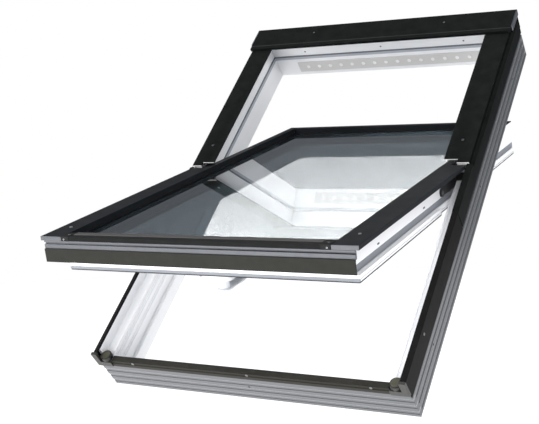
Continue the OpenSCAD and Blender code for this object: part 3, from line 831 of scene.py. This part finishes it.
def on_both_sides(right_piece, finish, right_node):
    """Gives a right-hand part its twin, lays both in place, and lets each stand on its own node."""
    left_piece = copy_of(right_piece)
    left_piece.name = right_piece.name.replace("right", "left")
    left_piece.data.transform(Matrix.Scale(-1, 4, (1, 0, 0)))
    left_piece.data.flip_normals()
    left_node = right_node.replace("right", "left")
    for piece, node in ((right_piece, right_node), (left_piece, left_node)):
        wear(lay(piece, place_of(node)), finish, node)


# %% [markdown]
# ## Screws
# A window has dozens of small screws, and their cross recess is what makes the eye take them for
# screws. One domed head is modelled, one unit in radius: a short cylinder with its upper rim
# bevelled, and a cross cut by two bars with a Boolean modifier.

# %% One cross-head screw
def screw_head():
    let_go()
    bpy.ops.mesh.primitive_cylinder_add(vertices=24, radius=1, depth=0.42, location=(0, 0, 0.21))
    bpy.ops.object.transform_apply(location=True, rotation=True, scale=True)
    head = bpy.context.object
    pick(head, UP)
    bpy.ops.mesh.bevel(offset=0.34, offset_pct=0, segments=4, affect="EDGES")
    bpy.ops.object.mode_set(mode="OBJECT")
    arm, half_arm, recess = 0.6, 0.12, 0.22
    for x, y in ((arm, half_arm), (half_arm, arm)):
        bar = block("cutter", (-x, -y, recess), (x, y, 1))
        only(head)
        cut = head.modifiers.new("cross", "BOOLEAN")
        cut.operation, cut.object, cut.solver = "DIFFERENCE", bar, "EXACT"
        bpy.ops.object.modifier_apply(modifier=cut.name)
        bpy.data.objects.remove(bar)
    smooth_faces(head, 40)
    return head


pattern_screw = screw_head()
print("one screw:", len(pattern_screw.data.polygons), "faces")

# %% [markdown]
# Where each screw goes, and which way it faces, comes from the plain CAD screws. They are found as
# separate islands of their mesh, by walking from a corner along the edges until no new corner turns
# up. An island's shortest side is the screw's axis, and the end with the smaller face is outside.

# %% Where the CAD screws are
def islands(node):
    shape = bmesh.new()
    shape.from_mesh(nodes[node].data)
    bmesh.ops.remove_doubles(shape, verts=shape.verts, dist=0.00001)
    shape.transform(place_of(node).inverted())
    seen, found = set(), []
    for start in shape.verts:
        if start.index in seen:
            continue
        group, edge_of_search = [], [start]
        while edge_of_search:
            corner = edge_of_search.pop()
            if corner.index not in seen:
                seen.add(corner.index)
                group.append(corner.co.copy())
                edge_of_search += [e.other_vert(corner) for e in corner.link_edges]
        found.append(group)
    shape.free()
    return found


def screw_place(points):
    """The middle of a screw's foot, the way it faces, and its radius."""
    low = Vector(min(p[i] for p in points) for i in range(3))
    high = Vector(max(p[i] for p in points) for i in range(3))
    size = high - low
    axis = min(range(3), key=lambda i: size[i])
    ends = []
    for value in (low[axis], high[axis]):
        rim = [p for p in points if abs(p[axis] - value) < 0.0001]
        ends.append(max((p - sum(rim, Vector()) / len(rim)).length for p in rim))
    facing = Vector((0, 0, 0))
    facing[axis] = 1 if ends[1] < ends[0] else -1
    base = (low + high) / 2
    base[axis] = low[axis] if facing[axis] > 0 else high[axis]
    return base, facing, max(size) / 2


# %% [markdown]
# A fitter leaves every cross at its own angle, so each screw is turned a little further than the
# one before it.

# %% Set the screws
screw_finish = {"frame_screws": screw_steel, "sash_screws": bright_steel}
turn_step = 0.7
for node in screw_finish:
    heads = []
    for points in islands(node):
        base, facing, radius = screw_place(points)
        upright = facing.to_track_quat("Z", "Y").to_matrix().to_4x4()
        turn = upright @ Matrix.Rotation(len(heads) * turn_step, 4, "Z")
        head = copy_of(pattern_screw)
        head.data.transform(Matrix.Translation(base) @ turn @ Matrix.Scale(radius, 4))
        heads.append(lay(head, place_of(node)))
    wear(joined(node + "_heads", heads), screw_finish[node], node, [node])
    print(node, len(heads), "screws")
bpy.data.objects.remove(pattern_screw)

# %% [markdown]
# ## The vent's snap-in caps
# The holes of the vent strip carry white caps. The middles and the radius of the holes are read off
# the strip: its points near mid-height are put in groups across, and a group that is wide enough
# goes round one hole.

# %% Find the vent's holes
strip_low, strip_high = flat_box("vent_strip")
strip_mid = (strip_low.z + strip_high.z) / 2
to_flat = place_of("vent_strip").inverted()
strip_points = [to_flat @ v.co for v in nodes["vent_strip"].data.vertices]
rim_x = sorted(p.x for p in strip_points if abs(p.z - strip_mid) < 6 * MM)
groups_x = [[rim_x[0]]]
for x in rim_x:
    if x - groups_x[-1][-1] > 10 * MM:
        groups_x.append([])
    groups_x[-1].append(x)
hole_x = [(g[0] + g[-1]) / 2 for g in groups_x if g[-1] - g[0] > 5 * MM]
hole_r = (groups_x[1][-1] - groups_x[1][0]) / 2
print(len(hole_x), "holes of", round(hole_r / MM, 2), "mm radius")

# %% [markdown]
# A cap is a short cylinder whose front is inset and pushed in, and all caps are copies of the
# first. It is modelled facing up and then turned to face down the slope.

# %% Vent caps
cap_play, cap_depth, cap_sink = 0.4 * MM, 3.2 * MM, 0.9 * MM
let_go()
bpy.ops.mesh.primitive_cylinder_add(vertices=20, radius=hole_r - cap_play, depth=cap_depth)
vent_cap = soften(dished(bpy.context.object, 1.5 * MM, (0, 0, -0.9 * MM), UP), 0.35 * MM)
face_downhill = Matrix.Rotation(math.pi / 2, 4, "X")
caps = []
for x in hole_x:
    cap = copy_of(vent_cap)
    spot = Matrix.Translation((x, strip_low.y + cap_sink, strip_mid))
    cap.data.transform(spot @ face_downhill)
    caps.append(lay(cap, ROOF))
wear(joined("vent_caps", caps), cap_white, "vent_strip")
bpy.data.objects.remove(vent_cap)
print("caps:", len(caps))

# %% [markdown]
# ## Ribs inside the lower frame
# The white sides of the lower half carry fine ribs along their whole length, which guide the water
# down. Each is a long bar with a bevelled back, so that its crest catches a line of light. They end
# short of the pivot, where the side gets thicker.

# %% Jamb ribs
lower_jamb_x = 0.352  # the inner face below the step, which no box gives
rib_heights = (60, 66, 80, 86, 92)
rib_half, rib_proud, rib_root = 0.9 * MM, 1.3 * MM, 0.3 * MM
rib_start = flat_box("frame_right_jamb")[0].y + 2 * MM
rib_end = (ROOF.inverted() @ pivot).y - 70 * MM
ribs = []
for rib_height in rib_heights:
    rib_z = rib_height * MM
    rib = block(
        "rib",
        (lower_jamb_x - rib_proud, rib_start, rib_z - rib_half),
        (lower_jamb_x + rib_root, rib_end, rib_z + rib_half),
    )
    ribs.append(soften(rib, 0.6 * MM))
on_both_sides(joined("jamb_ribs_right", ribs), frame_profile, "frame_right_jamb")
print("ribs on each side:", len(ribs))

# %% [markdown]
# ## The sash's side strip and edge seals
# A grey strip sits in the groove along each side of the sash. A darker seal runs along the
# room-side edge of the upper half, and another along the flange of the lower half. All three are
# clip-in profiles with two thin lips, which come from insetting the outer face and pushing it in.

# %% Strips and seals along the sides
stile_x = 0.341  # the stile's outer face, between its flanges
sash_start = flat_box("sash_left_stile")[0].y
sash_end = flat_box("sash_right_stile")[1].y
side_profiles = {
    # name: finish, width of a lip, then the low and the high corner
    "side_strip_right": (
        strip_grey, 2.2 * MM,
        (stile_x - 5.8 * MM, sash_start + 2 * MM, -73.5 * MM),
        (stile_x - 1.2 * MM, sash_end - 3 * MM, -59.5 * MM),
    ),
    "upper_edge_seal_right": (
        seal_grey, 1.6 * MM,
        (stile_x - 9 * MM, -118 * MM, -92.4 * MM),
        (stile_x + 0.8 * MM, sash_end, -86 * MM),
    ),
    "lower_edge_seal_right": (
        seal_grey, 1.4 * MM,
        (stile_x + 2 * MM, sash_start, -89.6 * MM),
        (stile_x + 8.7 * MM, -121 * MM, -84 * MM),
    ),
}
for name, (finish, lip, low, high) in side_profiles.items():
    strip = dished(block(name, low, high), lip, (-lip, 0, 0), OUTWARD)
    on_both_sides(soften(strip, 0.5 * MM), finish, "sash_right_stile")
    print(name, round(high[1] - low[1], 3), "m long")

# %% [markdown]
# The seal of the lower half goes on across the front of the bottom rail, as a lighter strip under the skirt. Its
# grey is partly a real strip and partly painted shade, standing in for the shade on the rail's front.

# %% Strip across the rail's front
rail_seal_and_shade_strip = block(
    "rail_front_seal_and_shade",
    (-stile_x - 8 * MM, sash_start - 1.2 * MM, -90.3 * MM),
    (stile_x + 8 * MM, sash_start + 1 * MM, -84 * MM),
)
dished(rail_seal_and_shade_strip, 1.6 * MM, (0, 0.8 * MM, 0), DOWNHILL)
wear(lay(soften(rail_seal_and_shade_strip, 0.4 * MM), SASH), strip_grey, "sash_bottom_rail")
print("rail strip", round(2 * (stile_x + 8 * MM), 3), "m long")

# %% [markdown]
# ## Drain slots in the sash's sides
# Two narrow drain slots on each side let water out of the glazing groove. Each is closed by a small
# dished cap, set just proud of the plastic.

# %% Drain slot covers
drain_places, drain_half = (-468 * MM, -206 * MM), 5 * MM
drains = []
for v in drain_places:
    drain = block(
        "drain",
        (stile_x - 0.5 * MM, v - drain_half, -52 * MM),
        (stile_x + 0.7 * MM, v + drain_half, -48.5 * MM),
    )
    drains.append(soften(dished(drain, 0.8 * MM, (-0.5 * MM, 0, 0), OUTWARD), 0.3 * MM))
on_both_sides(joined("drain_covers_right", drains), seal_grey, "sash_right_stile")
print("drain covers on each side:", len(drains))

# %% [markdown]
# ## The gasket's lip round the opening
# The black gasket under the glass folds over the edge of the plastic, so that the opening has a
# dark line all round. Four bars with a bevelled free edge are joined at the corners.

# %% Gasket lip
profile_w, lip_h, lip_t = 52 * MM, 9 * MM, 1.2 * MM
throat_x = stile_x - profile_w
throat_low, throat_high = sash_start + profile_w, sash_end - profile_w
lip_top = flat_box("bedding_gasket")[0].z
lip_low = lip_top - lip_h
lips = []
for low, high in (
    ((-throat_x, throat_low, lip_low), (throat_x, throat_low + lip_t, lip_top)),
    ((-throat_x, throat_high - lip_t, lip_low), (throat_x, throat_high, lip_top)),
    ((-throat_x, throat_low, lip_low), (-throat_x + lip_t, throat_high, lip_top)),
    ((throat_x - lip_t, throat_low, lip_low), (throat_x, throat_high, lip_top)),
):
    lips.append(soften(block("lip", low, high), 0.5 * MM))
wear(lay(joined("gasket_lip", lips), SASH), black_rubber, "bedding_gasket")
print("gasket lip", round(2 * throat_x, 3), "m wide")

# %% [markdown]
# ## The front of the sash
# A grey bead lies along the back of the black trim, where it meets the glass. It is a bar with a
# large bevel, nearly half round.

# %% Trim bead
trim_low, trim_high = flat_box("sash_bottom_trim")
bead_inset = 24 * MM
bead = block(
    "trim_bead",
    (trim_low.x + bead_inset, trim_high.y - 17 * MM, trim_high.z - 0.5 * MM),
    (trim_high.x - bead_inset, trim_high.y - 1 * MM, trim_high.z + 1.6 * MM),
)
half_round(bead, 1.8 * MM, UP)
wear(lay(bead, SASH), bead_sheet, "sash_bottom_trim")
print("bead", round(bead.dimensions.x, 3), "m long")

# %% [markdown]
# A black clip closes each end of the trim. Its top and its front are both dished, each face inside
# its own rim.

# %% Corner clips
clip = block(
    "corner_clip_right",
    (trim_high.x - 21 * MM, trim_low.y - 0.9 * MM, trim_low.z + 0.3 * MM),
    (trim_high.x - 1 * MM, trim_low.y + 26 * MM, trim_high.z + 0.9 * MM),
)
dished(clip, 2.2 * MM, (0, 0, -0.3 * MM), UP, DOWNHILL, each=True)
on_both_sides(soften(clip, 0.4 * MM), black_rubber, "sash_bottom_trim")
print("clips", round(clip.dimensions.x, 3), "m wide")

# %% [markdown]
# ## The hood's bead
# A raised bead is pressed along the front of the hood, which stiffens the sheet and shows as one pale line. It is
# a thin bar set into the hood's top, rounded on its upper side. Its sheet is painted paler than the hood's, a
# painted highlight for the light that the bead catches.

# %% Bead along the hood
hood_low, hood_high = flat_box("hood")
hem = block(
    "hood_hem",
    (hood_low.x, hood_low.y + 10 * MM, hood_high.z - 1.8 * MM),
    (hood_high.x, hood_low.y + 13 * MM, hood_high.z + 0.8 * MM),
)
half_round(hem, 1.0 * MM, UP, DOWNHILL)
wear(lay(hem, ROOF), hem_painted_highlight, "hood")
print("hood's bead", round(hem.dimensions.x, 3), "m long")

# %% [markdown]
# ## Rivets
# A rivet is a low cylinder whose upper rim is bevelled into a dome, over a wider washer. It is
# modelled facing up, and a matrix turns it to the side or down the slope.

# %% A rivet on its washer
TO_SIDE = Matrix.Rotation(math.pi / 2, 4, "Y")
TO_FRONT = Matrix.Rotation(-math.pi / 2, 4, "Z") @ TO_SIDE


def rivet(name, radius, rise, spot, turn):
    let_go()
    bpy.ops.mesh.primitive_cylinder_add(vertices=20, radius=radius * 1.7, depth=rise)
    knob = bpy.context.object
    knob.name = name
    pick(knob, UP)
    bpy.ops.mesh.inset(thickness=radius * 0.7)
    bpy.ops.mesh.extrude_region_move(TRANSFORM_OT_translate={"value": (0, 0, rise)})
    bpy.ops.mesh.bevel(offset=rise * 0.7, segments=3, affect="EDGES")
    bpy.ops.object.mode_set(mode="OBJECT")
    soften(knob, 0.15 * MM)
    knob.data.transform(Matrix.Translation(spot) @ turn)
    return knob


# %% [markdown]
# The round head of each hinge turns on a rivet, and a second one holds the plate near the pivot.

# %% Hinge rivets
hinge_face = flat_box("hinge_sash_plate_right")[1].x
head_spot = (hinge_face, -93 * MM, -46 * MM)
plate_spot = (stile_x + 2.2 * MM, -40 * MM, -30 * MM)
hinge_rivets = [
    rivet("rivet", 2.8 * MM, 0.9 * MM, head_spot, TO_SIDE),
    rivet("rivet", 2.2 * MM, 0.8 * MM, plate_spot, TO_SIDE),
]
on_both_sides(joined("hinge_rivets_right", hinge_rivets), screw_steel, "hinge_sash_plate_right")
print("rivets on each hinge:", len(hinge_rivets))

# %% [markdown]
# ## The crimped ends of the upper covers
# Each upper cover ends in a bright crimped tab beside the pivot, with one rivet. The tab is a thin
# plate whose front face is inset and pushed in, so that its rim stands up.

# %% Crimped tabs
end_low, end_high = flat_box("cover_end_trim_right")
tab = block(
    "crimped_tab_right",
    (end_low.x, end_low.y - 1.6 * MM, end_high.z - 7 * MM),
    (end_high.x, end_low.y + 0.4 * MM, end_high.z + 0.5 * MM),
)
soften(dished(tab, 1.6 * MM, (0, 0.9 * MM, 0), DOWNHILL), 0.35 * MM)
tab_spot = (end_high.x - 6 * MM, end_low.y - 1.4 * MM, end_high.z - 3 * MM)
tab_rivet = rivet("tab_rivet", 2.6 * MM, 0.9 * MM, tab_spot, TO_FRONT)
on_both_sides(joined("crimped_tab_right", [tab, tab_rivet]), vent_silver, "cover_end_trim_right")
print("tabs at y", round(end_low.y, 4))

# %% [markdown]
# Beside the tab the cover stops a little higher, and a thin folded strip shows there as a second
# bright line.

# %% Folded strips
cover_low, cover_high = flat_box("upper_cover_right")
fold_y = end_high.y + 9.5 * MM
fold_strip = block(
    "cover_fold_right",
    (cover_low.x + 1 * MM, fold_y - 0.6 * MM, cover_high.z - 2.2 * MM),
    (end_low.x - 0.5 * MM, fold_y + 0.6 * MM, cover_high.z + 0.3 * MM),
)
pick(fold_strip, DOWNHILL)
bpy.ops.mesh.inset(thickness=0.5 * MM)
bpy.ops.object.mode_set(mode="OBJECT")
on_both_sides(soften(fold_strip, 0.3 * MM), vent_silver, "upper_cover_right")
print("folds at y", round(fold_y, 4))

# %% [markdown]
# ## The corner plugs' faces
# The round plug in each lower corner has an olive disc pressed into its top, with a rim and a low
# button in the middle. Insetting twice, down and then up, gives both.

# %% Plug discs
plug_low, plug_high = flat_box("corner_plug_right")
plug_mid = (plug_low + plug_high) / 2
plug_r = (plug_high.x - plug_low.x) / 2
let_go()
bpy.ops.mesh.primitive_cylinder_add(
    vertices=28,
    radius=plug_r * 0.82,
    depth=2 * MM,
    location=(plug_mid.x, plug_mid.y, plug_high.z + 0.3 * MM),
)
bpy.ops.object.transform_apply(location=True, rotation=True, scale=True)
disc = bpy.context.object
disc.name = "plug_disc_right"
pick(disc, UP)
for rim, push in ((1.6 * MM, -0.6 * MM), (3.4 * MM, 1.0 * MM)):
    bpy.ops.mesh.inset(thickness=rim)
    bpy.ops.transform.translate(value=(0, 0, push))
bpy.ops.object.mode_set(mode="OBJECT")
on_both_sides(soften(disc, 0.25 * MM), plug_plastic, "corner_plug_right")
print("disc radius", round(plug_r * 0.82 / MM, 1), "mm")

# %% [markdown]
# ## The handle's details
# A dark grey strip, dished a little, lies under the handle's grip as painted shade for the dark line seen there,
# and a small screw holds the base to the rail.

# %% Painted shade under the grip, and the base screw
lever_low, lever_high = flat_box("handle_lever")
grip_painted_shade = block(
    "grip_painted_shade",
    (lever_low.x + 9 * MM, lever_low.y + 34 * MM, lever_low.z - 0.3 * MM),
    (lever_high.x - 9 * MM, lever_high.y - 14 * MM, lever_low.z + 1.2 * MM),
)
dished(grip_painted_shade, 1 * MM, (0, 0, 0.6 * MM), ROOMWARD)
wear(lay(soften(grip_painted_shade, 0.3 * MM), SASH), seal_grey, "handle_lever")

base_low, base_high = flat_box("handle_base")
screw_spot = (base_low.x + 14 * MM, base_low.y, (base_low.z + base_high.z) / 2)
base_screw = rivet("handle_base_screw", 1.8 * MM, 0.7 * MM, screw_spot, TO_FRONT)
wear(lay(base_screw, SASH), screw_steel, "handle_base")
print("handle base", round(base_high.x - base_low.x, 3), "m wide")
